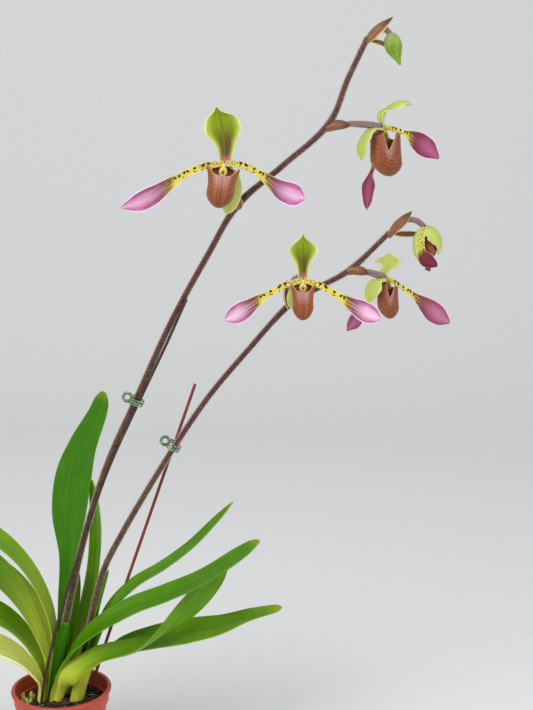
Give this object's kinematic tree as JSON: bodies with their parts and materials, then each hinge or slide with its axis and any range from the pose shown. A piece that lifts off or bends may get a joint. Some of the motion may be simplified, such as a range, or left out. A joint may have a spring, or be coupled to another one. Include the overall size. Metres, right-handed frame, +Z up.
{
  "type": "potted slipper orchid",
  "caption": "Potted slipper orchid: strap leaves, hairy flower stems clipped to stakes, green sepals, spotted pink-ended petals and brown pouches, in a nursery pot.",
  "frame": {"origin": "centre of the pot's flat underside", "axes": "+Z up along the pot; the open blooms mainly look towards -Y; +X is the side that the flower stems lean to"},
  "size_m": [0.4925, 0.1056, 0.6718],
  "materials": {
    "pot": "thin injection-moulded terracotta-coloured plastic, satin, a little darker inside",
    "mix": "coarse dark bark with pale fibres, dry and matte",
    "leaf": "glossy living leaf, yellow-green at the foot and deep green along the blade, with fine parallel veins",
    "old_leaf": "yellowing old leaf, satin",
    "scape": "maroon-brown flower stem with fine silvery hairs",
    "stake": "thin mottled dark brown twig, matte",
    "stake_red": "thin red-brown stick, matte",
    "clip": "green coated spring wire, satin",
    "ovary": "mauve-grey downy flower stalk",
    "sepal": "yellow-green sepal with brown-purple veins at its foot and a cream margin",
    "petal": "yellow petal foot spotted maroon-black, opening to a veined pink blade",
    "lip": "brown-maroon pouch with darker veins and a pale sheen",
    "column": "yellow column shield with a brown eye",
    "bud": "pale green closed bud with a yellow ridge"
  },
  "bodies": {
    "root": {"pot": "pot", "potting_mix": "mix", "leaf_tall": "leaf", "leaf_short": "leaf", "leaf_narrow": "leaf", "leaf_right_1": "leaf", "leaf_right_2": "leaf", "leaf_right_3": "leaf", "leaf_right_4": "leaf", "leaf_left_1": "leaf", "leaf_left_2": "leaf", "leaf_left_3": "leaf", "leaf_left_4": "old_leaf", "leaf_left_5": "leaf", "sheath_1": "leaf", "sheath_2": "leaf", "scape_1": "scape", "scape_2": "scape", "stake_1": "stake", "stake_2": "stake_red", "clip_1": "clip", "clip_2": "clip", "bloom_a_ovary": "ovary", "bloom_a_dorsal_sepal": "sepal", "bloom_a_petal_left": "petal", "bloom_a_petal_right": "petal", "bloom_a_synsepal": "sepal", "bloom_a_lip": "lip", "bloom_a_column": "column", "bloom_b_ovary": "ovary", "bloom_b_dorsal_sepal": "sepal", "bloom_b_petal_left": "petal", "bloom_b_petal_right": "petal", "bloom_b_synsepal": "sepal", "bloom_b_lip": "lip", "bloom_b_column": "column", "bloom_c_ovary": "ovary", "bloom_c_dorsal_sepal": "sepal", "bloom_c_petal_left": "petal", "bloom_c_petal_right": "petal", "bloom_c_synsepal": "sepal", "bloom_c_lip": "lip", "bloom_c_column": "column", "bloom_d_ovary": "ovary", "bloom_d_dorsal_sepal": "sepal", "bloom_d_petal_left": "petal", "bloom_d_petal_right": "petal", "bloom_d_synsepal": "sepal", "bloom_d_lip": "lip", "bloom_d_column": "column", "bud_e_ovary": "ovary", "bud_e_dorsal_sepal": "sepal", "bud_e_synsepal": "sepal", "bud_e_petal_left": "petal", "bud_e_petal_right": "petal", "bud_e_lip": "lip", "bud_f_ovary": "ovary", "bud_f_bud": "bud"}
  },
  "joints": []
}
